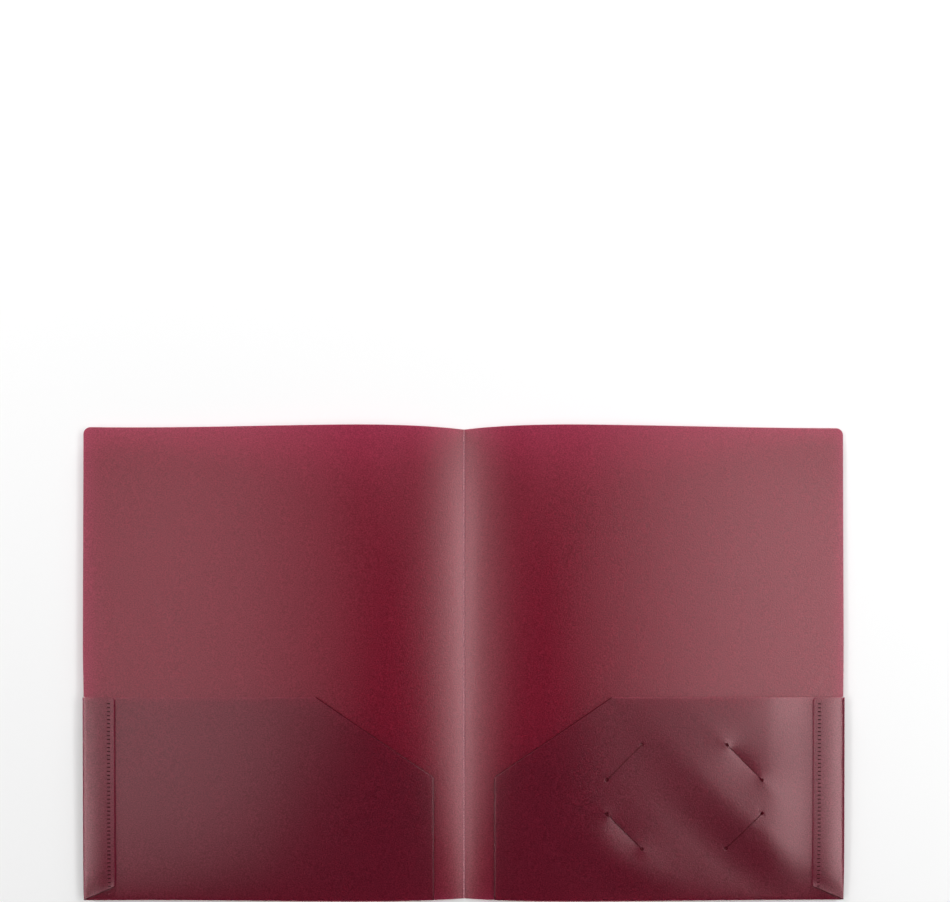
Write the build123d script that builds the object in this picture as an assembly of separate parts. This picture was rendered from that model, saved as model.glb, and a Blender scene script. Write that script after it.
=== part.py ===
from build123d import *

import os
from math import sqrt

# A two-pocket folder, lying open with its inside up.
#
# It is die cut from one sheet of polypropylene and folded to shape. A front and a back cover
# meet at a creased spine. A panel folds up from the foot of each cover and makes its pocket,
# and a narrow flap folds in from the fore edge, over the pocket, where a row of spot welds
# holds it. Each flat panel is a solid of its own, and so is each rolled fold between two panels.
#
# The frame: X runs across the open folder towards the back cover, Y up the spine towards the
# head of the covers, and Z out of the surface that the folder lies on. The origin is on that
# surface, under the middle of the spine. One half is drawn at positive X and mirrored.

# Driving dimensions, in millimetres
SHEET = 0.45                # thickness of the polypropylene sheet

COVER_WIDTH = 241.3         # from the middle of the spine to the fore edge
COVER_HEIGHT = 298.5        # from foot to head
COVER_CORNER = 4.5          # radius of the covers' two free corners

CREASE_RADIUS = 0.5         # rounded bead of the spine crease, which the covers turn about
CREASE_CLEARANCE = 0.03     # between the bead and the covers' hollowed edges

POCKET_HEIGHT = 128.0       # from the foot to the pocket's mouth
POCKET_INSET = 20.0         # from the middle of the spine to the pocket's inner edge
POCKET_GAP = 0.4            # room for paper between cover and pocket
POCKET_CUT_WIDTH = 73.5     # slanting thumb cut at the pocket's upper inner corner
POCKET_CUT_HEIGHT = 50.2
POCKET_CORNER = 3.0         # radius at both ends of the thumb cut

FLAP_WIDTH = 20.5           # from the fore edge to the side flap's inner edge
FLAP_CORNER = 3.0           # radius of the flap's two free corners
FLAP_FOOT = 0.4             # from the foot of the cover to the lowest point of the flap
FLAP_MITRE_RISE = 8.5       # how far the mitred lower end slants up

WELD_LENGTH = 2.0           # one spot weld, across the row
WELD_WIDTH = 0.8            # one spot weld, along the row
WELD_PITCH = 2.5
WELD_MARGIN = 3.9           # from the flap's inner edge to the middle of the row
WELD_TOP = 4.0              # from the pocket's mouth to the middle of the first weld
WELD_END = 1.3              # least distance from the last weld's middle to the mitred end
WELD_DIMPLE = 0.15          # how far a weld lies below the flap's face
WELD_BITE = 0.2             # how far a weld reaches into the pocket panel

CARD_WIDTH = 88.9           # the business card that the four slits hold
CARD_HEIGHT = 50.8
CARD_TUCK = 7.4             # how far a corner of the card tucks behind its slit
CARD_FROM_SPINE = 139.3     # middle of the card
CARD_FROM_FOOT = 65.7
SLIT_LENGTH = 31.3          # between the middles of its two stop holes
SLIT_SHIFT = 2.1            # of a slit along its own line, towards the card's long edge
SLIT_WIDTH = 0.3
STOP_HOLE_DIAMETER = 1.5    # round hole that keeps a slit from tearing on

FOLD_RELIEF = 0.3           # room beside the end of a fold, where the cover's edge steps out
PANEL_CLEARANCE = 0.3       # between the pocket's outer edge and the side fold

# Levels, radii and edges that follow from them
POCKET_UNDER = SHEET + POCKET_GAP
POCKET_FACE = POCKET_UNDER + SHEET
FLAP_FACE = POCKET_FACE + SHEET

FOOT_INNER = POCKET_GAP / 2             # inner radius of the bottom fold
SIDE_INNER = (POCKET_GAP + SHEET) / 2   # the side fold also goes round the pocket panel
FOOT_ROLL = FOOT_INNER + SHEET
SIDE_ROLL = SIDE_INNER + SHEET

FOOT = -COVER_HEIGHT / 2
HEAD = COVER_HEIGHT / 2
MOUTH = FOOT + POCKET_HEIGHT
FOOT_FOLD_LINE = FOOT + FOOT_ROLL
SIDE_FOLD_LINE = COVER_WIDTH - SIDE_ROLL
POCKET_OUTER = SIDE_FOLD_LINE - PANEL_CLEARANCE
FLAP_INNER = COVER_WIDTH - FLAP_WIDTH
FLAP_LOWEST = FOOT + FLAP_FOOT


def block(x_span, y_span):
    """A rectangle between two places along X and two along Y."""
    low = Vector(x_span[0], y_span[0])
    high = Vector(x_span[1], y_span[1])
    middle = (low + high) / 2
    return Pos(middle.X, middle.Y) * Rectangle(high.X - low.X, high.Y - low.Y)


def plate(outline, level):
    """A flat panel of the sheet, with its underside at the given level."""
    return Pos(0, 0, level) * extrude(outline, SHEET)


def round_corners(outline, places, radius):
    """The outline with its corners nearest to the given places rounded."""
    corners = [outline.vertices().sort_by_distance(Vector(*place))[0] for place in places]
    return fillet(corners, radius)


def half_ring(inner_radius, side):
    """Cross-section of a rolled fold that bulges towards positive or negative local X."""
    outer_radius = inner_radius + SHEET
    ring = Circle(outer_radius) - Circle(inner_radius)
    return ring & Pos(side * outer_radius / 2, 0) * Rectangle(outer_radius, 2 * outer_radius)


def along_spine(radius):
    """A rod on the spine's axis, over the whole height of the folder."""
    rod = extrude(Plane.XZ * Circle(radius), COVER_HEIGHT / 2, both=True)
    return Pos(0, 0, CREASE_RADIUS) * rod


def spine_crease():
    """The bead of the living hinge, which lies on the surface between the covers."""
    return along_spine(CREASE_RADIUS)


def cover():
    """The cover panel, stepped back where the folds begin and hollowed along the spine."""
    outline = block((0, COVER_WIDTH), (FOOT, HEAD))
    outline = round_corners(outline, [(COVER_WIDTH, HEAD)], COVER_CORNER)
    outline -= block((POCKET_INSET - FOLD_RELIEF, COVER_WIDTH), (FOOT, FOOT_FOLD_LINE))
    outline -= block((SIDE_FOLD_LINE, COVER_WIDTH), (FOOT, MOUTH + FOLD_RELIEF))
    return plate(outline, 0) - along_spine(CREASE_RADIUS + CREASE_CLEARANCE)


def bottom_fold():
    """The roll at the foot, from the cover up to the pocket panel."""
    roll = extrude(Plane.YZ * half_ring(FOOT_INNER, -1), POCKET_OUTER - POCKET_INSET)
    return Pos(POCKET_INSET, FOOT_FOLD_LINE, FOOT_ROLL) * roll


def side_fold():
    """The roll at the fore edge, from the cover up to the flap. Its section faces down the Y axis."""
    roll = extrude(Plane.XZ * half_ring(SIDE_INNER, 1), MOUTH - FLAP_LOWEST)
    return Pos(SIDE_FOLD_LINE, MOUTH, SIDE_ROLL) * roll


def pocket_outline():
    """The pocket panel with its slanting thumb cut."""
    outline = block((POCKET_INSET, POCKET_OUTER), (FOOT_FOLD_LINE, MOUTH))
    cut_top = (POCKET_INSET + POCKET_CUT_WIDTH, MOUTH)
    cut_foot = (POCKET_INSET, MOUTH - POCKET_CUT_HEIGHT)
    outline -= make_face(Polyline(cut_top, cut_foot, (POCKET_INSET, MOUTH), close=True))
    return round_corners(outline, [cut_top, cut_foot], POCKET_CORNER)


def card_slits():
    """Four slits at 45 degrees, one across each corner of the card, with a stop hole at each end."""
    half_width = CARD_WIDTH / 2
    half_height = CARD_HEIGHT / 2
    slit_line = half_width + half_height - CARD_TUCK * sqrt(2)   # X plus Y all along a slit
    across = (half_width + slit_line - half_height) / 2 - SLIT_SHIFT / sqrt(2)
    up = slit_line - across
    slit = Rectangle(SLIT_LENGTH, SLIT_WIDTH)
    for end in (-1, 1):
        slit += Pos(end * SLIT_LENGTH / 2, 0) * Circle(STOP_HOLE_DIAMETER / 2)
    middle = Pos(CARD_FROM_SPINE, FOOT + CARD_FROM_FOOT)
    slits = Sketch()
    for right in (-1, 1):
        for above in (-1, 1):
            slits += middle * Pos(right * across, above * up) * Rot(0, 0, -45 * right * above) * slit
    return slits


def mitred_edge(across):
    """Height of the flap's mitred lower edge at a distance from the spine."""
    share = (SIDE_FOLD_LINE - across) / (SIDE_FOLD_LINE - FLAP_INNER)
    return FLAP_LOWEST + share * FLAP_MITRE_RISE


def side_flap_outline():
    """The flap, flush with the pocket's mouth and mitred at its lower end."""
    upper_corner = (FLAP_INNER, MOUTH)
    lower_corner = (FLAP_INNER, mitred_edge(FLAP_INNER))
    outline = make_face(
        Polyline(
            (SIDE_FOLD_LINE, MOUTH),
            upper_corner,
            lower_corner,
            (SIDE_FOLD_LINE, FLAP_LOWEST),
            close=True,
        )
    )
    return round_corners(outline, [upper_corner, lower_corner], FLAP_CORNER)


def weld_row(top):
    """A prism at each place of the weld row, from inside the pocket panel up to a level."""
    across = FLAP_INNER + WELD_MARGIN
    first = MOUTH - WELD_TOP
    count = int((first - mitred_edge(across) - WELD_END) / WELD_PITCH) + 1
    base = POCKET_FACE - WELD_BITE
    prism = extrude(Rectangle(WELD_LENGTH, WELD_WIDTH), top - base)
    return [Pos(across, first - i * WELD_PITCH, base) * prism for i in range(count)]


def folder_half(with_card_slits):
    """The pieces of one half, at positive X."""
    welds = weld_row(FLAP_FACE - WELD_DIMPLE)
    seats = weld_row(FLAP_FACE)
    pocket_face = pocket_outline()
    if with_card_slits:
        pocket_face -= card_slits()
    return {
        "cover": cover(),
        "bottom_fold": bottom_fold(),
        "pocket": plate(pocket_face, POCKET_UNDER) - seats,
        "side_fold": side_fold(),
        "side_flap": plate(side_flap_outline(), POCKET_FACE) - seats,
        "weld_spots": Compound(children=welds),
    }


def folder():
    """Every piece of the folder by name."""
    pieces = {"spine_crease": spine_crease()}
    for name, shape in folder_half(with_card_slits=True).items():
        pieces[f"back_{name}"] = shape
    for name, shape in folder_half(with_card_slits=False).items():
        pieces[f"front_{name}"] = mirror(shape, about=Plane.YZ)
    return pieces


os.makedirs("parts", exist_ok=True)
for name, shape in folder().items():
    export_step(shape, f"parts/{name}.step")
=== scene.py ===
import cmath
import functools
import math

import bmesh
import bpy
from mathutils import Matrix, Vector


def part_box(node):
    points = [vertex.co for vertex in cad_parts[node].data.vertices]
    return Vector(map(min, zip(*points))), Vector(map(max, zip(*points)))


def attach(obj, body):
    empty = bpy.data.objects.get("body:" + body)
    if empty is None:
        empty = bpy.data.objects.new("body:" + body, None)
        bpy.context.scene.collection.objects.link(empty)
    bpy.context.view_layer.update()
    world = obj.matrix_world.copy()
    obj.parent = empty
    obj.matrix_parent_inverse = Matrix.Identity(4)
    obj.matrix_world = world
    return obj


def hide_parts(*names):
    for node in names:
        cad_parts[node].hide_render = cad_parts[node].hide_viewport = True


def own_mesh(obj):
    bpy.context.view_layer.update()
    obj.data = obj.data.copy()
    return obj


# A two-pocket folder of frosted burgundy sheet plastic, lying open with its inside up.
#
# The solids are the flat die-cut shape. Here each panel gets the bow that the sheet really has
# beside its spine, the pockets stand a little open, and the folds roll on into their panels.
# Lengths are in metres, in the frame's own axes: X across the open folder towards the back
# cover, Y up the spine towards the head, Z out of the surface that the folder lies on.

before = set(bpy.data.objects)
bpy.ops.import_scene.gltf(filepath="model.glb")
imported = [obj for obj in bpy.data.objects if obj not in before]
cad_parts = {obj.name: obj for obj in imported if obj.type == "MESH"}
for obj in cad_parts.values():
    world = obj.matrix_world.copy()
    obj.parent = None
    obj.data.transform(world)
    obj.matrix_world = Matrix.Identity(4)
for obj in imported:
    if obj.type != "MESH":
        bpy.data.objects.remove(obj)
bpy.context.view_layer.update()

MM = 0.001
HALVES = {"front": -1, "back": 1}   # each cover's side of the spine

# Edges and levels, read from the frame. The two halves mirror each other.
COVER_LOW, COVER_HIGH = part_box("back_cover")
POCKET_LOW, POCKET_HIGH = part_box("back_pocket")
FLAP_LOW, FLAP_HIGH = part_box("back_side_flap")
CREASE_LOW, CREASE_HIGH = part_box("spine_crease")
WELD_LOW, WELD_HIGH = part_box("back_weld_spots")

SHEET = COVER_HIGH.z - COVER_LOW.z
FORE_EDGE = COVER_HIGH.x
FOOT = COVER_LOW.y
HEAD = COVER_HIGH.y
MOUTH = POCKET_HIGH.y
FOOT_FOLD_LINE = POCKET_LOW.y
SIDE_FOLD_LINE = FLAP_HIGH.x
POCKET_INNER = POCKET_LOW.x
POCKET_OUTER = POCKET_HIGH.x
FLAP_INNER = FLAP_LOW.x
FLAP_LOWEST = FLAP_LOW.y
WELD_LINE = (WELD_LOW.x + WELD_HIGH.x) / 2

COVER_LEVEL = (COVER_LOW.z + COVER_HIGH.z) / 2      # middle of the sheet's thickness
POCKET_LEVEL = (POCKET_LOW.z + POCKET_HIGH.z) / 2
FLAP_LEVEL = (FLAP_LOW.z + FLAP_HIGH.z) / 2

# Cut-outs and welds, as in the solids
COVER_CORNER = 4.5 * MM
CREASE_CLEARANCE = 0.03 * MM
FOLD_RELIEF = 0.3 * MM
POCKET_CUT_WIDTH = 73.5 * MM
POCKET_CUT_HEIGHT = 50.2 * MM
POCKET_CORNER = 3.0 * MM
FLAP_CORNER = 3.0 * MM
FLAP_MITRE_RISE = 8.5 * MM
WELD_WIDTH = 0.8 * MM
WELD_PITCH = 2.5 * MM
CARD_WIDTH = 88.9 * MM
CARD_HEIGHT = 50.8 * MM
CARD_TUCK = 7.4 * MM
CARD_FROM_SPINE = 139.3 * MM
CARD_FROM_FOOT = 65.7 * MM
SLIT_LENGTH = 31.3 * MM
SLIT_SHIFT = 2.1 * MM           # along its own line, towards the card's long edge
SLIT_WIDTH = 0.3 * MM
STOP_HOLE_RADIUS = 0.75 * MM

# The sheet's bow: it climbs away from the spine, crests and sinks again towards the fore edge
SPINE_SLOPE = 0.375             # how steeply the sheet leaves the spine
CLIMB_LENGTH = 91 * MM          # over which the climb dies out
CLIMB_POWER = 2.1               # how fast the slope does so
SINK_START = 48 * MM            # from where it begins to sink towards the fore edge
HEAD_SINK = 8.2 * MM            # how far it sinks there at the head
POCKET_SINK = 7.0 * MM          # and at the pocket, which stiffens it
FRONT_CURL = 0.05               # slope by which the front cover turns up again at its fore edge
CURL_START = 140 * MM           # from the spine
FOOT_BOW = 0.77                 # how much of the bow is left at the stiffer foot
FOOT_POWER = 2.0                # how soon the bow flattens towards the foot

# How far the pockets stand off their covers
INNER_STAND = 0.4 * MM          # along the pocket's free inner edge and its thumb cut
OUTER_STAND = {"front": 1.1 * MM, "back": 2.1 * MM}     # at the flap's inner edge
FOLD_STAND = {"front": 0.8 * MM, "back": 1.6 * MM}      # at the soft side fold
MOUTH_SWELL = {"front": 0.5 * MM, "back": 1.2 * MM}     # how far the flap rises on at the mouth
FOOT_SWELL = {"front": 1.6 * MM, "back": 1.2 * MM}      # and at the foot
FOLD_TURN = 2.5                 # how late the flap turns down towards its fold
FOLD_DRAW = {"front": 0.4 * MM, "back": 0.2 * MM}       # by which that open fold draws the sheet in
FOLD_DRAW_FADE = 30 * MM        # above the mouth, over which that dies out
FOOT_LENGTH = 14 * MM           # over which a pocket rises from the fold at its foot
BELLY = {"front": 1.0 * MM, "back": 0.5 * MM}           # how much more it stands off low down
BELLY_START = 60 * MM           # from the spine
BELLY_WIDTH = 60 * MM

# The raised outer part of the back pocket, past a slanting buckle
PLATEAU_STAND = 3.3 * MM
PLATEAU_INNER = 85 * MM         # from the spine, where the raised part begins
PLATEAU_OUTER = 195 * MM        # and where it is raised in full
PLATEAU_FALL = 30 * MM          # before the flap, over which it comes down again
BUCKLE_START = -17 * MM         # from the card's middle towards the pocket's upper outer corner
BUCKLE_WIDTH = 38 * MM
BUCKLE_BEND = 0.9               # per metre: towards the foot it bends away from the slits' line
MOUTH_CREST_HEIGHT = 0.6 * MM   # of a low crest on the raised part at the mouth
MOUTH_CREST_PLACE = 188 * MM    # from the spine
MOUTH_CREST_WIDTH = 24 * MM
MOUTH_CREST_LENGTH = 45 * MM    # down from the mouth

# A ridge in the back pocket below its card slits, placed from the card's middle
LOWER_RIDGE_HEIGHT = 0.9 * MM
LOWER_RIDGE_PLACE = -58 * MM    # out towards the pocket's upper outer corner
LOWER_RIDGE_MIDDLE = 8 * MM     # along the line of the slits there
LOWER_RIDGE_WIDTH = 16 * MM
LOWER_RIDGE_LENGTH = 45 * MM

# The two card slits that gape: the lower inner one is -1 here, and the upper outer one is 1
SLIT_GAPE = 28.9 * MM                       # the length of a slit that gapes
LOWER_LIP_SLOPES = {-1: 0.075, 1: 0.075}    # how steeply the sheet sinks at the lower lip
UPPER_LIP_SLOPES = {-1: 0.03, 1: 0.10}      # and at the upper lip
RELIEF_FADE = 25 * MM           # before the flap and the foot, over which ridge and lips die out

# Marks of the cutting die, which draws the sheet down at a cut, and dark strips of painted shade along
# cuts
EDGE_ROLL = 0.10 * MM           # how far it draws down a pocket's free edges
EDGE_ROLL_WIDTH = 0.9 * MM
FLAP_ROLL = {"front": 0.12 * MM, "back": 0.03 * MM}     # and a flap's inner edge
FLAP_ROLL_WIDTH = 0.6 * MM
EDGE_SHADE_WIDTH = 0.35 * MM         # width of the painted shadow strip along a pocket's inner edge and thumb cut
EDGE_CUTS = (EDGE_SHADE_WIDTH, FLAP_ROLL_WIDTH, EDGE_ROLL_WIDTH)
SLIT_SHADE_WIDTH = 0.12 * MM         # width of the painted shade along either lip of a slit
MITRE_SHADE_WIDTH = 0.5 * MM         # width of the painted shadow along the mitred end of a flap
STOP_RIM_RADIUS = 1.1 * MM      # of the pressed ring round a stop hole, which is painted as shade
STOP_HOLE_SINK = 0.15 * MM      # how far that ring is pressed down

# The flap's free edges, which stand up beyond the welds
FLAP_EDGE_LIFT = {"front": 0.15 * MM, "back": 0.05 * MM}
FLAP_END_LIFT = 0.25 * MM       # of the mitred end
FLAP_END_LENGTH = 6 * MM
FLAP_END_FADE = 1 / 3           # share of the flap's width, from its fold, over which that lift grows

# Melted spots
SPOT_ROUNDING = 0.12 * MM
PRESS_MARKS = {"front": 2, "back": 0}   # pressed bumps that go on below the flap in the same row
PRESS_MARK_RISE = 0.10 * MM     # over the pocket
PRESS_MARK_DEPTH = 0.3 * MM

# The creased spine
BEAD_SHIFT = 0.12 * MM          # of the narrowed bead, so that its groove shows beside it
WEB_THICKNESS = 0.15 * MM       # of the hinge's web under the bead

# How finely the pieces are made
COVER_GRID = 3.5 * MM           # spacing of the cuts that let a panel bend
POCKET_GRID = 2.0 * MM
FOLD_STEPS = 8
CORNER_STEPS = 6
BEVEL_STEPS = 2
HOLE_SIDES = 12
BEAD_SIDES = 24
EDGE_SOFTNESS = 0.16 * MM       # of a panel's rounded edges
SHARP_ANGLE = math.radians(50)  # past which two faces meet in an edge
ON_LINE = 1e-6                  # a vertex this near to a line or a level lies on it
CUT_TOLERANCE = 1e-8
MERGE_DISTANCE = 1e-7


# How the panels bend

def ease(share):
    """A smooth step from 0 to 1."""
    share = min(max(share, 0), 1)
    return share * share * (3 - 2 * share)


def share_between(place, start, end):
    """How far a place is from a start to an end, from 0 to 1."""
    return min(max((place - start) / (end - start), 0), 1)


def swell(place, middle, width):
    """A smooth hump of height 1 about a middle."""
    return math.exp(-((place - middle) / width) ** 2)


def half_at(x):
    """Which half of the folder a place lies in."""
    return "back" if x > 0 else "front"


def on_side(vector, side):
    """A place or a direction of the back half, on the given side of the spine."""
    return Vector((side * vector.x, vector.y, vector.z))


def bow(x, y):
    """How high the bowed sheet lies at a place."""
    across = abs(x)
    left_to_climb = max(1 - across / CLIMB_LENGTH, 0)
    full_climb = SPINE_SLOPE * CLIMB_LENGTH / (CLIMB_POWER + 1)
    climb = full_climb * (1 - left_to_climb ** (CLIMB_POWER + 1))
    sink_depth = POCKET_SINK + (HEAD_SINK - POCKET_SINK) * ease((y - MOUTH) / (HEAD - MOUTH))
    sink = sink_depth * ease((across - SINK_START) / (FORE_EDGE - SINK_START))
    curl = 0
    if x < -CURL_START:
        curl_width = FORE_EDGE - CURL_START
        curl = FRONT_CURL * curl_width / 2 * ((across - CURL_START) / curl_width) ** 2
    towards_foot = share_between(y, HEAD, FOOT)
    return (climb - sink + curl) * (1 - (1 - FOOT_BOW) * towards_foot ** FOOT_POWER)


def drawn_in(x, y):
    """How far the sheet is drawn in towards the spine, by its climb there and by the open side fold."""
    across = abs(x)
    left_to_climb = max(1 - across / CLIMB_LENGTH, 0)
    power = 2 * CLIMB_POWER + 1
    by_climb = SPINE_SLOPE ** 2 / 2 * CLIMB_LENGTH / power * (1 - left_to_climb ** power)
    by_fold = FOLD_DRAW[half_at(x)] * (across / FORE_EDGE) ** 2
    return by_climb + by_fold * ease((MOUTH + FOLD_DRAW_FADE - y) / FOLD_DRAW_FADE)


def rise_from_foot(y):
    """How far a pocket has risen from the fold at its foot, from 0 to 1."""
    return 1 - math.exp(-max(y - FOOT_FOLD_LINE, 0) / FOOT_LENGTH)


def inner_stand(x, y, half):
    """How far the inner part of a pocket stands off, with more low down."""
    along = share_between(y, FOOT_FOLD_LINE, MOUTH)
    return INNER_STAND + BELLY[half] * (1 - along) * ease((abs(x) - BELLY_START) / BELLY_WIDTH)


def over_flap(x, y, half):
    """How far the flap stands off at a place between its inner edge and its fold."""
    towards_fold = share_between(abs(x), FLAP_INNER, SIDE_FOLD_LINE)
    towards_foot = share_between(y, MOUTH, FOOT_FOLD_LINE)
    rise = MOUTH_SWELL[half] + (FOOT_SWELL[half] - MOUTH_SWELL[half]) * towards_foot
    drop = OUTER_STAND[half] + rise - FOLD_STAND[half]
    return OUTER_STAND[half] + rise * towards_fold - drop * towards_fold ** FOLD_TURN


def front_stand(x, y):
    """How far the front pocket stands off its cover."""
    across = share_between(abs(x), POCKET_INNER, FLAP_INNER)
    inner = inner_stand(x, y, "front")
    return (inner + (over_flap(x, y, "front") - inner) * ease(across)) * rise_from_foot(y)


def back_stand(x, y):
    """How far the back pocket stands off its cover, with its outer part raised."""
    outwards, along = from_card(x, y)
    buckle = BUCKLE_START + BUCKLE_BEND * max(along, 0) ** 2
    past_buckle = ease((outwards - buckle) / BUCKLE_WIDTH)
    past_buckle *= ease((x - PLATEAU_INNER) / (PLATEAU_OUTER - PLATEAU_INNER))
    before_flap = ease((FLAP_INNER - x) / PLATEAU_FALL)
    plateau = over_flap(x, y, "back") + (PLATEAU_STAND - OUTER_STAND["back"]) * before_flap
    at_mouth = ease((y - MOUTH) / MOUTH_CREST_LENGTH + 1)
    plateau += MOUTH_CREST_HEIGHT * swell(x, MOUTH_CREST_PLACE, MOUTH_CREST_WIDTH) * at_mouth
    inner = inner_stand(x, y, "back")
    return (inner + (plateau - inner) * past_buckle) * rise_from_foot(y)


STAND = {"front": front_stand, "back": back_stand}


def carded_stand(x, y):
    """How far the back pocket stands off, with the relief about its card slits."""
    outwards, along = from_card(x, y)
    slit_out, slit_along = slit_place()
    ridge = swell(outwards, LOWER_RIDGE_PLACE, LOWER_RIDGE_WIDTH)
    ridge *= swell(along, LOWER_RIDGE_MIDDLE, LOWER_RIDGE_LENGTH)
    relief = LOWER_RIDGE_HEIGHT * ridge
    for end in (-1, 1):
        from_slit = outwards - end * slit_out
        from_middle = along - end * slit_along
        slope = LOWER_LIP_SLOPES[end] if from_slit < 0 else UPPER_LIP_SLOPES[end]
        relief -= slope * slit_opening(from_middle, from_slit)
    relief *= ease((FLAP_INNER - x) / RELIEF_FADE) * ease((y - FOOT_FOLD_LINE) / RELIEF_FADE)
    place = Vector((x, y, 0))
    nearest = min((place - hole).length for _, _, ends in card_slits() for hole in ends)
    return back_stand(x, y) + relief - STOP_HOLE_SINK * swell(nearest, 0, STOP_RIM_RADIUS)


def from_card(x, y):
    """Where a place lies from the card's middle: out towards the gaping slits, and along them."""
    across = x - CARD_FROM_SPINE
    up = y - FOOT - CARD_FROM_FOOT
    return (across + up) / math.sqrt(2), (across - up) / math.sqrt(2)


def slit_opening(along, beside):
    """How far a place goes with the parting lips: half the gape at a slit's middle, less around."""
    parted = cmath.sqrt(complex(along, beside) ** 2 - (SLIT_GAPE / 2) ** 2)
    return abs(parted.imag) - abs(beside)


def slit_place():
    """Where the upper outer slit lies: out from the card's middle, and along its own line."""
    half_width = CARD_WIDTH / 2
    half_height = CARD_HEIGHT / 2
    out = (half_width + half_height) / math.sqrt(2) - CARD_TUCK
    along = (half_width - half_height) / math.sqrt(2) - SLIT_SHIFT
    return out, along


@functools.cache
def card_slits():
    """The four slits across the card's corners: each one's middle, the way out, and its two ends."""
    slit_out, slit_along = slit_place()
    card = Vector((CARD_FROM_SPINE, FOOT + CARD_FROM_FOOT, 0))
    slits = []
    for right in (-1, 1):
        for above in (-1, 1):
            outwards = Vector((right, above, 0)).normalized()
            beside = Vector((right, -above, 0)).normalized()
            middle = card + outwards * slit_out + beside * slit_along
            reach = beside * SLIT_LENGTH / 2
            slits.append((middle, outwards, (middle - reach, middle + reach)))
    return slits


def free_edges():
    """A place on a pocket's inner edge, on its thumb cut and on its mouth, each with the way in."""
    cut_way_in = Vector((POCKET_CUT_HEIGHT, -POCKET_CUT_WIDTH, 0)).normalized()
    return [
        (Vector((POCKET_INNER, FOOT, 0)), Vector((1, 0, 0))),
        (Vector((POCKET_INNER, MOUTH - POCKET_CUT_HEIGHT, 0)), cut_way_in),
        (Vector((POCKET_INNER, MOUTH, 0)), Vector((0, -1, 0))),
    ]


def edge_roll(x, y):
    """How far the sheet is drawn down beside a pocket's free edges."""
    place = Vector((abs(x), y, 0))
    nearest = min((place - start).dot(way_in) for start, way_in in free_edges())
    return EDGE_ROLL * max(1 - nearest / EDGE_ROLL_WIDTH, 0) ** 2


def flap_stand(x, y):
    """How far the flap stands off, with its edge and its mitred end standing up a little."""
    half = half_at(x)
    share = (SIDE_FOLD_LINE - abs(x)) / (SIDE_FOLD_LINE - FLAP_INNER)
    mitre = FLAP_LOWEST + share * FLAP_MITRE_RISE
    towards_edge = share_between(abs(x), WELD_LINE, FLAP_INNER)
    towards_end = share_between(y, mitre + FLAP_END_LENGTH, mitre)
    up = FLAP_EDGE_LIFT[half] * towards_edge
    up += FLAP_END_LIFT * towards_end ** 2 * ease(share / FLAP_END_FADE)
    rolled = FLAP_ROLL[half] * max(1 - (abs(x) - FLAP_INNER) / FLAP_ROLL_WIDTH, 0) ** 2
    return STAND[half](x, y) + up - rolled


# Materials

SHEET_COLOUR = (0.150, 0.0125, 0.032)
SHEET_GLOW_SHARE = 0.55         # how much of the sheet's look is light that comes through it
SHEET_GLOSS = 1.0
CREASE_COLOUR = (0.62, 0.27, 0.32)
CREASE_GLOW_SHARE = 0.1
CREASE_GLOSS = 0.3
# Dark colour of the melted welds, also used as painted shade along cuts, slit lips, stop holes and mitres
WELD_AND_SHADE_COLOUR = (0.045, 0.006, 0.010)
WELD_AND_SHADE_GLOW_SHARE = 0.1
WELD_AND_SHADE_GLOSS = 0.08

GLOW_COLOUR = (0.90, 0.26, 0.44)
SHEEN_TINT = (1.0, 0.64, 0.67, 1)
REFRACTION = 1.65
GRAIN_SIZE = 0.8 * MM           # of the sandy surface
GRAIN_DETAIL = 1
GRAIN_DEPTH = 0.07 * MM
GRAIN_SHADES = (0.5, 1.5)       # how much the grain darkens and lightens the colour
GRAIN_GLOW = (0.8, 1.2)         # and the light that comes through
GRAIN_ROUGHNESS = (0.18, 0.26)
CLOUD_SIZE = 40 * MM            # of the faint clouds in the colour
CLOUD_SHADES = (0.95, 1.05)
NOISE_RANGE = (0.25, 0.75)      # where nearly all of a noise lies


def ramp(tree, value, span, ends):
    """A value's span, spread between two ends."""
    node = tree.nodes.new("ShaderNodeMapRange")
    node.inputs["From Min"].default_value, node.inputs["From Max"].default_value = span
    node.inputs["To Min"].default_value, node.inputs["To Max"].default_value = ends
    tree.links.new(value, node.inputs["Value"])
    return node.outputs["Result"]


def product(tree, first, second):
    """Two values multiplied."""
    node = tree.nodes.new("ShaderNodeMath")
    node.operation = "MULTIPLY"
    tree.links.new(first, node.inputs[0])
    tree.links.new(second, node.inputs[1])
    return node.outputs[0]


class Finish:
    """A material's node tree, with short ways to add to it."""

    def __init__(self, name):
        self.material = bpy.data.materials.new(name)
        self.material.use_nodes = True
        self.tree = self.material.node_tree
        self.tree.nodes.clear()
        self.place = self.add("ShaderNodeTexCoord").outputs["Object"]

    def add(self, kind, **inputs):
        """A new node, with a value or a link for each input named."""
        node = self.tree.nodes.new(kind)
        for name, value in inputs.items():
            socket = node.inputs[name.replace("_", " ")]
            if isinstance(value, bpy.types.NodeSocket):
                self.tree.links.new(value, socket)
            else:
                socket.default_value = value
        return node

    def noise(self, size, detail=2.0):
        """Noise with features of about a size."""
        node = self.add("ShaderNodeTexNoise", Vector=self.place, Scale=1 / size, Detail=detail)
        return node.outputs["Fac"]

    def spread(self, noise, ends):
        """A noise spread between two ends."""
        return ramp(self.tree, noise, NOISE_RANGE, ends)

    def tint(self, colour, brightness):
        """A colour made lighter and darker by a value about 1."""
        node = self.add("ShaderNodeVectorMath")
        node.operation = "SCALE"
        node.inputs[0].default_value = colour
        self.tree.links.new(brightness, node.inputs["Scale"])
        return node.outputs["Vector"]


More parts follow.
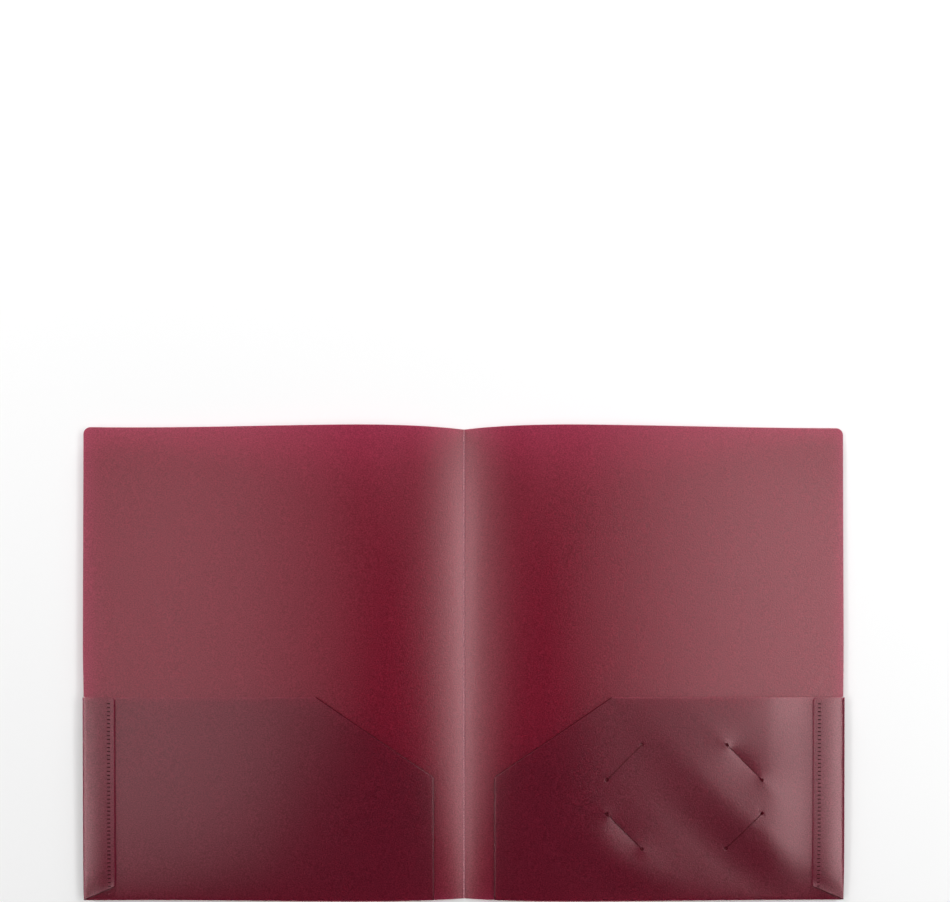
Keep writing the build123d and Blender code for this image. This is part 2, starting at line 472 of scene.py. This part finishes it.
def frosted_sheet(name, colour, glow_share, gloss):
    """Sandy matt polypropylene that lets some light through."""
    finish = Finish(name)
    grain = finish.noise(GRAIN_SIZE, GRAIN_DETAIL)
    cloud = finish.noise(CLOUD_SIZE)
    bump = finish.add("ShaderNodeBump", Height=grain, Strength=1.0, Distance=GRAIN_DEPTH)
    sand = bump.outputs["Normal"]
    shade = product(finish.tree, finish.spread(cloud, CLOUD_SHADES), finish.spread(grain, GRAIN_SHADES))
    surface = finish.add(
        "ShaderNodeBsdfPrincipled",
        Normal=sand,
        Base_Color=finish.tint(colour, shade),
        Roughness=finish.spread(grain, GRAIN_ROUGHNESS),
        Specular_IOR_Level=gloss,
        Specular_Tint=SHEEN_TINT,
        IOR=REFRACTION,
    )
    glow = finish.tint(GLOW_COLOUR, finish.spread(grain, GRAIN_GLOW))
    through = finish.add("ShaderNodeBsdfTranslucent", Normal=sand, Color=glow)
    mix = finish.add("ShaderNodeMixShader")
    mix.inputs[0].default_value = glow_share
    finish.tree.links.new(surface.outputs[0], mix.inputs[1])
    finish.tree.links.new(through.outputs[0], mix.inputs[2])
    finish.add("ShaderNodeOutputMaterial", Surface=mix.outputs[0])
    return finish.material


burgundy_sheet = frosted_sheet("burgundy sheet", SHEET_COLOUR, SHEET_GLOW_SHARE, SHEET_GLOSS)
whitened_crease = frosted_sheet("whitened crease", CREASE_COLOUR, CREASE_GLOW_SHARE, CREASE_GLOSS)

# Also painted shade along cut edges, slit lips, stop-hole rings and the flap's mitred end
weld_and_painted_shade = frosted_sheet("weld and painted shade", WELD_AND_SHADE_COLOUR, WELD_AND_SHADE_GLOW_SHARE, WELD_AND_SHADE_GLOSS)


# Sheet work

def cut_sheet(side, corners, rounded, radius):
    """A flat piece on one side of the spine, with the given corners, some of them rounded."""
    bm = bmesh.new()
    bm.faces.new([bm.verts.new((side * x, y, 0)) for x, y in corners])
    for x, y in rounded:
        round_corner(bm, Vector((side * x, y, 0)), radius)
    return bm


def round_corner(bm, place, radius):
    """Rounds the corner at a place to a radius."""
    corner = min(bm.verts, key=lambda v: (v.co - place).length)
    ways = [(edge.other_vert(corner).co - corner.co).normalized() for edge in corner.link_edges]
    half_turn = (math.pi - ways[0].angle(ways[1])) / 2
    bmesh.ops.bevel(
        bm,
        geom=[corner],
        offset=radius * math.tan(half_turn),
        offset_type="OFFSET",
        affect="VERTICES",
        segments=CORNER_STEPS,
        profile=0.5,
        material=-1,
    )


def slice_across(bm, faces, place, normal):
    """Cuts the given faces along a plane, and returns all that they became."""
    geometry = set(faces)
    for face in faces:
        geometry.update(face.edges)
        geometry.update(face.verts)
    cut = bmesh.ops.bisect_plane(
        bm, geom=list(geometry), dist=CUT_TOLERANCE, plane_co=place, plane_no=normal
    )
    return [item for item in cut["geom"] if isinstance(item, bmesh.types.BMFace)]


def grid_cut(bm, places, axis):
    """Cuts the whole sheet at places along an axis."""
    for place in places:
        slice_across(bm, bm.faces[:], axis * place, axis)


def spaced(low, high, step):
    """Places between two ends, evenly spaced by about a step."""
    count = max(round((high - low) / step), 1)
    return [low + (high - low) * i / count for i in range(1, count)]


def grid(bm, step):
    """Cuts a sheet into a grid that is fine enough to bend."""
    across = [v.co.x for v in bm.verts]
    along = [v.co.y for v in bm.verts]
    grid_cut(bm, spaced(min(across), max(across), step), Vector((1, 0, 0)))
    grid_cut(bm, spaced(min(along), max(along), step), Vector((0, 1, 0)))


def cut_out(bm, corners):
    """Cuts along the sides of a convex outline, and returns the faces inside it."""
    middle = sum(corners, Vector()) / len(corners)
    reach = max((corner - middle).length for corner in corners) + POCKET_GRID
    near = [f for f in bm.faces if (f.calc_center_median() - middle).length < reach]
    sides = []
    for start, end in zip(corners, corners[1:] + corners[:1]):
        normal = (end - start).cross(Vector((0, 0, 1))).normalized()
        if normal.dot(middle - start) > 0:
            normal = -normal
        sides.append((start, normal))
        near = slice_across(bm, near, start, normal)
    return [
        face for face in near
        if all((face.calc_center_median() - start).dot(normal) < 0 for start, normal in sides)
    ]


def punch(bm, corners):
    """Punches a convex hole."""
    bmesh.ops.delete(bm, geom=cut_out(bm, corners), context="FACES")


def round_outline(middle, radius):
    """The outline of a round hole about a middle."""
    spoke = Vector((radius, 0, 0))
    turns = [math.tau * i / HOLE_SIDES for i in range(HOLE_SIDES)]
    return [middle + Matrix.Rotation(turn, 3, "Z") @ spoke for turn in turns]


def box_outline(near, far, low, high):
    """A rectangular outline between two places along X and two along Y."""
    return [Vector((x, y, 0)) for x, y in ((near, low), (far, low), (far, high), (near, high))]


def strip_outline(start, end, reach):
    """The outline of a strip along a line, which reaches out by a vector on either side of it."""
    return [start - reach, end - reach, end + reach, start + reach]


def mark(faces):
    """Gives faces the second material of their piece."""
    for face in faces:
        face.material_index = 1


def edges_on(bm, distance):
    """The edges that lie on a line, by a vertex's distance from it."""
    return [e for e in bm.edges if all(abs(distance(v.co)) < ON_LINE for v in e.verts)]


def roll(bm, edges, axis, place, turn):
    """Rolls a fold on from a panel's edge, about an axis through a place."""
    bmesh.ops.spin(bm, geom=edges, cent=place, axis=axis, angle=turn, steps=FOLD_STEPS)


def lift(bm, level, stand=None, fold_depth=1.0):
    """Raises a flat sheet to its level and its bow, which draws it in a little.

    A fold that hangs from the sheet stretches, so that its lower end stays on the cover.
    """
    for vertex in bm.verts:
        x, y, z = vertex.co
        vertex.co.z += level + bow(x, y)
        if stand:
            vertex.co.z += stand(x, y) * max(1 + z / fold_depth, 0)
        vertex.co.x -= math.copysign(drawn_in(x, y), x)


def finish_sheet(bm, name, materials, body, nodes):
    """Makes the bent sheet a piece with its thickness and softened edges."""
    bmesh.ops.remove_doubles(bm, verts=bm.verts, dist=MERGE_DISTANCE)
    bmesh.ops.recalc_face_normals(bm, faces=bm.faces)
    piece = new_piece(bm, name, materials)
    thickness = piece.modifiers.new("sheet thickness", "SOLIDIFY")
    thickness.thickness = SHEET
    thickness.offset = 0
    edges = piece.modifiers.new("soft edges", "BEVEL")
    edges.width = EDGE_SOFTNESS
    edges.segments = BEVEL_STEPS
    edges.limit_method = "ANGLE"
    edges.angle_limit = SHARP_ANGLE
    edges.harden_normals = True
    place_piece(piece, body, nodes)
    flatten_when_closed(piece)


def new_piece(bm, name, materials):
    """An object of the finished mesh."""
    mesh = bpy.data.meshes.new(name)
    bm.to_mesh(mesh)
    bm.free()
    mesh.shade_smooth()
    for material in materials:
        mesh.materials.append(material)
    piece = bpy.data.objects.new(name, mesh)
    bpy.context.scene.collection.objects.link(piece)
    return piece


def place_piece(piece, body, nodes):
    """Says which body a piece moves with, and hides the solids that it stands for."""
    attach(piece, body)
    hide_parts(*nodes)


def flatten_when_closed(piece):
    """Gives a piece a mesh of its own."""
    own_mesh(piece)


# The pieces of one half

def cover(half, side):
    """The cover panel, set back where its folds begin."""
    spine_edge = CREASE_HIGH.x + CREASE_CLEARANCE
    foot_step = POCKET_INNER - FOLD_RELIEF
    side_step = MOUTH + FOLD_RELIEF
    head_corner = (FORE_EDGE, HEAD)
    corners = [
        (spine_edge, FOOT),
        (foot_step, FOOT),
        (foot_step, FOOT_FOLD_LINE),
        (SIDE_FOLD_LINE, FOOT_FOLD_LINE),
        (SIDE_FOLD_LINE, side_step),
        (FORE_EDGE, side_step),
        head_corner,
        (spine_edge, HEAD),
    ]
    bm = cut_sheet(side, corners, [head_corner], COVER_CORNER)
    grid(bm, COVER_GRID)
    lift(bm, COVER_LEVEL)
    finish_sheet(bm, f"{half}_cover_panel", [burgundy_sheet], half, [f"{half}_cover"])


def pocket(half, side):
    """The pocket panel with its thumb cut, rolled on into the fold at the foot."""
    cut_top = (POCKET_INNER + POCKET_CUT_WIDTH, MOUTH)
    cut_foot = (POCKET_INNER, MOUTH - POCKET_CUT_HEIGHT)
    corners = [
        (POCKET_INNER, FOOT_FOLD_LINE),
        (POCKET_OUTER, FOOT_FOLD_LINE),
        (POCKET_OUTER, MOUTH),
        cut_top,
        cut_foot,
    ]
    bm = cut_sheet(side, corners, [cut_top, cut_foot], POCKET_CORNER)
    grid(bm, POCKET_GRID)
    cut_and_shade_free_edges(bm, side)
    if half == "back":
        cut_card_slits(bm)
    foot_edges = edges_on(bm, lambda place: place.y - FOOT_FOLD_LINE)
    fold_middle = Vector((0, FOOT_FOLD_LINE, (COVER_LEVEL - POCKET_LEVEL) / 2))
    roll(bm, foot_edges, Vector((1, 0, 0)), fold_middle, math.pi)
    stand = carded_stand if half == "back" else front_stand
    lift(bm, POCKET_LEVEL, lambda x, y: stand(x, y) - edge_roll(x, y), POCKET_LEVEL - COVER_LEVEL)
    materials = [burgundy_sheet, weld_and_painted_shade]
    nodes = [f"{half}_pocket", f"{half}_bottom_fold"]
    finish_sheet(bm, f"{half}_pocket_panel", materials, half, nodes)


def cut_and_shade_free_edges(bm, side):
    """Cuts strips along a pocket's free edges, and paints shade on the outermost at inner edge and thumb
    cut.
    """
    for start, way_in in free_edges():
        for depth in EDGE_CUTS:
            place = start + way_in * depth
            slice_across(bm, bm.faces[:], on_side(place, side), on_side(way_in, side))
    inner_edge, thumb_cut, _ = free_edges()
    for start, way_in in (inner_edge, thumb_cut):
        line = on_side(start, side)
        inwards = on_side(way_in, side)
        mark(f for f in bm.faces if (f.calc_center_median() - line).dot(inwards) < EDGE_SHADE_WIDTH)


def cut_card_slits(bm):
    """The card slits, with painted shade along their lips and round the pressed stop hole at either end.
    """
    for _, outwards, (start, end) in card_slits():
        lip = outwards * SLIT_WIDTH / 2
        shade_reach = outwards * (SLIT_WIDTH / 2 + SLIT_SHADE_WIDTH)
        mark(cut_out(bm, strip_outline(start, end, shade_reach)))
        punch(bm, strip_outline(start, end, lip))
        for hole in (start, end):
            mark(cut_out(bm, round_outline(hole, STOP_RIM_RADIUS)))
            punch(bm, round_outline(hole, STOP_HOLE_RADIUS))


def weld_places():
    """The places of the welds along their row, from the foot up."""
    count = round((WELD_HIGH.y - WELD_LOW.y - WELD_WIDTH) / WELD_PITCH) + 1
    return [WELD_LOW.y + WELD_WIDTH / 2 + i * WELD_PITCH for i in range(count)]


def side_flap(half, side):
    """The welded flap with its mitred end, rolled on into the fold at the fore edge."""
    upper_corner = (FLAP_INNER, MOUTH)
    lower_corner = (FLAP_INNER, FLAP_LOWEST + FLAP_MITRE_RISE)
    corners = [
        (SIDE_FOLD_LINE, FLAP_LOWEST),
        (SIDE_FOLD_LINE, MOUTH),
        upper_corner,
        lower_corner,
    ]
    bm = cut_sheet(side, corners, [upper_corner, lower_corner], FLAP_CORNER)
    grid(bm, POCKET_GRID)
    grid_cut(bm, [side * (FLAP_INNER + depth) for depth in EDGE_CUTS], Vector((1, 0, 0)))
    shade_mitre(bm, side)
    near = side * WELD_LOW.x
    far = side * WELD_HIGH.x
    for place in weld_places():
        punch(bm, box_outline(near, far, place - WELD_WIDTH / 2, place + WELD_WIDTH / 2))
    side_edges = edges_on(bm, lambda place: abs(place.x) - SIDE_FOLD_LINE)
    fold_middle = Vector((side * SIDE_FOLD_LINE, 0, (COVER_LEVEL - FLAP_LEVEL) / 2))
    roll(bm, side_edges, Vector((0, 1, 0)), fold_middle, side * math.pi)
    lift(bm, FLAP_LEVEL, flap_stand, FLAP_LEVEL - COVER_LEVEL)
    materials = [burgundy_sheet, weld_and_painted_shade]
    nodes = [f"{half}_side_flap", f"{half}_side_fold"]
    finish_sheet(bm, f"{half}_side_flap_panel", materials, half, nodes)


def shade_mitre(bm, side):
    """Cuts the narrow strip along the flap's mitred end, and paints it as shade."""
    start = Vector((side * SIDE_FOLD_LINE, FLAP_LOWEST, 0))
    way_in = Vector((side * FLAP_MITRE_RISE, SIDE_FOLD_LINE - FLAP_INNER, 0)).normalized()
    slice_across(bm, bm.faces[:], start + way_in * MITRE_SHADE_WIDTH, way_in)
    mark(f for f in bm.faces if (f.calc_center_median() - start).dot(way_in) < MITRE_SHADE_WIDTH)


def weld_spots(half, side):
    """Melted spots that hold the flap to the pocket, sunk into the flap, and the press marks below it."""
    bm = bmesh.new()
    across = side * WELD_LINE
    spot_size = Vector((WELD_HIGH.x - WELD_LOW.x, WELD_WIDTH, WELD_HIGH.z - WELD_LOW.z))
    spot_level = WELD_HIGH.z - spot_size.z / 2
    places = weld_places()
    for place in places:
        add_spot(bm, Vector((across, place, spot_level)), spot_size)
    melted = set(bm.faces)
    bump_size = Vector((spot_size.x, spot_size.y, PRESS_MARK_DEPTH))
    bump_level = POCKET_HIGH.z + PRESS_MARK_RISE - PRESS_MARK_DEPTH / 2
    for number in range(PRESS_MARKS[half]):
        place = places[0] - (number + 1) * WELD_PITCH
        add_spot(bm, Vector((across, place, bump_level)), bump_size)
    mark(f for f in bm.faces if f not in melted)
    lift(bm, 0, STAND[half])
    piece = new_piece(bm, f"{half}_weld_row", [weld_and_painted_shade, burgundy_sheet])
    place_piece(piece, half, [f"{half}_weld_spots"])
    flatten_when_closed(piece)


def add_spot(bm, middle, size):
    """One spot with a rounded top."""
    shape = Matrix.Translation(middle) @ Matrix.Diagonal((*size, 1))
    spot = bmesh.ops.create_cube(bm, size=1, matrix=shape)["verts"]
    top = max(v.co.z for v in spot)
    rim = [e for e in bm.edges if all(v in spot and v.co.z > top - ON_LINE for v in e.verts)]
    bmesh.ops.bevel(
        bm,
        geom=rim,
        offset=SPOT_ROUNDING,
        offset_type="OFFSET",
        affect="EDGES",
        segments=BEVEL_STEPS,
        profile=0.5,
        material=-1,
    )


def spine_crease():
    """The bead of the creased spine, paler where the sheet is stretched, on the thin web under it."""
    bm = bmesh.new()
    radius = (CREASE_HIGH.x - CREASE_LOW.x) / 2
    middle = (CREASE_LOW + CREASE_HIGH) / 2 - Vector((BEAD_SHIFT, 0, 0))
    length = CREASE_HIGH.y - CREASE_LOW.y
    along_spine = Matrix.Rotation(math.pi / 2, 4, "X")
    narrowed = Matrix.Diagonal((1 - BEAD_SHIFT / radius, 1, 1, 1))
    bmesh.ops.create_cone(
        bm,
        cap_ends=True,
        segments=BEAD_SIDES,
        radius1=radius,
        radius2=radius,
        depth=length,
        matrix=Matrix.Translation(middle) @ narrowed @ along_spine,
    )
    bead = set(bm.faces)
    web_place = Matrix.Translation((0, middle.y, WEB_THICKNESS / 2))
    web_size = Matrix.Diagonal((CREASE_HIGH.x - CREASE_LOW.x, length, WEB_THICKNESS, 1))
    bmesh.ops.create_cube(bm, size=1, matrix=web_place @ web_size)
    mark(f for f in bm.faces if f not in bead)
    piece = new_piece(bm, "creased_spine", [whitened_crease, burgundy_sheet])
    piece.data.set_sharp_from_angle(angle=SHARP_ANGLE)
    place_piece(piece, "back", ["spine_crease"])


for half, side in HALVES.items():
    cover(half, side)
    pocket(half, side)
    side_flap(half, side)
    weld_spots(half, side)
spine_crease()


# Floor, light and camera

FLOOR_REACH = 8.0               # from the middle of the spine
FLOOR_COLOUR = (0.95, 0.95, 0.95, 1)
FLOOR_ROUGHNESS = 0.9

# White studio walls: how far up a direction points where they end, and how bright they are
WALL_END = (0.50, 0.65)
WALL_TO_CEILING = (0.35, 0.05)
HEADWARDS = (0.0, 0.6)          # how far towards the head it points, as the walls get brighter
HEADWARDS_SHARE = (0.3, 1.0)
WALL_COLOUR = (1, 1, 1, 1)

# A bank of soft strips on either side, dimmer and shorter towards the middle
LIGHT_HEIGHT = 1.2
LIGHT_START = 0.15              # from the spine's line
STRIP_WIDTH = 0.15
STRIP_HEAD_END = 0.65
STRIP_FOOT_END = -0.01          # of the innermost strip
FOOT_END_STEP = 0.130           # by which each strip reaches further than the one inside it
STRIP_FOOT_LIMIT = -0.75        # which no strip goes past
STRIP_RADIANCE = {
    "front": (0.2, 0.5, 1.1, 1.3, 2.3, 4.4, 5.7, 5.7),
    "back": (0.4, 0.7, 1.7, 2.4, 3.3, 5.2, 7.0, 7.0),
}

# A strip between the two banks, past the head
HEAD_STRIP_PLACE = 0.5          # up the spine's line
HEAD_STRIP_LENGTH = 0.36
HEAD_STRIP_RADIANCE = 0.6

# A wide strip low behind the head
BACK_STRIP_PLACE = (0, 1.6, 0.55)
BACK_STRIP_TARGET = (0, 0.1, 0)
BACK_STRIP_WIDTH = 2.0
BACK_STRIP_HEIGHT = 0.5
BACK_STRIP_RADIANCE = 8.0

CAMERA_PLACE = Vector((6.9, -20, 550)) * MM     # it looks straight down
FRAME_WIDTH = 605.3 * MM        # of the surface that the view takes in
FRAME_MIDDLE = 135.7 * MM       # how far up the spine's line the view's middle lies
SENSOR_WIDTH = 36               # in millimetres, as the camera takes it


def add_floor():
    """The white surface that the folder lies on."""
    bm = bmesh.new()
    bmesh.ops.create_grid(bm, x_segments=1, y_segments=1, size=FLOOR_REACH)
    mesh = bpy.data.meshes.new("floor")
    bm.to_mesh(mesh)
    bm.free()
    floor = bpy.data.objects.new("floor", mesh)
    bpy.context.scene.collection.objects.link(floor)
    material = bpy.data.materials.new("white floor")
    material.use_nodes = True
    surface = material.node_tree.nodes["Principled BSDF"]
    surface.inputs["Base Color"].default_value = FLOOR_COLOUR
    surface.inputs["Roughness"].default_value = FLOOR_ROUGHNESS
    surface.inputs["Specular IOR Level"].default_value = 0.0
    mesh.materials.append(material)


def add_surround():
    """White studio walls near the horizon and little light from straight above."""
    world = bpy.data.worlds.new("studio")
    world.use_nodes = True
    tree = world.node_tree
    direction = tree.nodes.new("ShaderNodeSeparateXYZ")
    tree.links.new(tree.nodes.new("ShaderNodeTexCoord").outputs["Generated"], direction.inputs[0])
    wall = ramp(tree, direction.outputs["Z"], WALL_END, WALL_TO_CEILING)
    share = ramp(tree, direction.outputs["Y"], HEADWARDS, HEADWARDS_SHARE)
    background = tree.nodes["Background"]
    background.inputs["Color"].default_value = WALL_COLOUR
    tree.links.new(product(tree, wall, share), background.inputs["Strength"])
    bpy.context.scene.world = world


def add_softbox(name, place, target, width, length, radiance):
    """A soft light of a given brightness, turned to a target."""
    data = bpy.data.lights.new(name, "AREA")
    data.shape = "RECTANGLE"
    data.size = width
    data.size_y = length
    data.energy = radiance * math.pi * width * length
    lamp = bpy.data.objects.new(name, data)
    lamp.location = place
    lamp.rotation_euler = (Vector(target) - Vector(place)).to_track_quat("-Z", "Y").to_euler()
    bpy.context.scene.collection.objects.link(lamp)


def add_overhead_strip(name, across, middle, width, length, radiance):
    """A soft strip overhead that shines straight down."""
    add_softbox(name, (across, middle, LIGHT_HEIGHT), (across, middle, 0), width, length, radiance)


def add_side_lights(half, side):
    """The strips on one side."""
    for strip, radiance in enumerate(STRIP_RADIANCE[half]):
        across = side * (LIGHT_START + (strip + 0.5) * STRIP_WIDTH)
        foot_end = max(STRIP_FOOT_END - strip * FOOT_END_STEP, STRIP_FOOT_LIMIT)
        middle = (STRIP_HEAD_END + foot_end) / 2
        length = STRIP_HEAD_END - foot_end
        add_overhead_strip(f"{half} strip", across, middle, STRIP_WIDTH, length, radiance)


def add_head_lights():
    """The strip past the head, and the low one behind it."""
    gap = 2 * LIGHT_START
    add_overhead_strip("head strip", 0, HEAD_STRIP_PLACE, gap, HEAD_STRIP_LENGTH, HEAD_STRIP_RADIANCE)
    add_softbox(
        "back strip",
        BACK_STRIP_PLACE,
        BACK_STRIP_TARGET,
        BACK_STRIP_WIDTH,
        BACK_STRIP_HEIGHT,
        BACK_STRIP_RADIANCE,
    )


def add_camera():
    """The camera straight over the folder, with its view shifted up the spine's line."""
    data = bpy.data.cameras.new("camera")
    data.sensor_width = SENSOR_WIDTH
    data.lens = SENSOR_WIDTH * CAMERA_PLACE.z / FRAME_WIDTH
    data.shift_y = (FRAME_MIDDLE - CAMERA_PLACE.y) / FRAME_WIDTH
    camera = bpy.data.objects.new("camera", data)
    camera.location = CAMERA_PLACE
    bpy.context.scene.collection.objects.link(camera)
    bpy.context.scene.camera = camera


add_floor()
add_surround()
for half, side in HALVES.items():
    add_side_lights(half, side)
add_head_lights()
add_camera()
bpy.context.scene.view_settings.view_transform = "Standard"
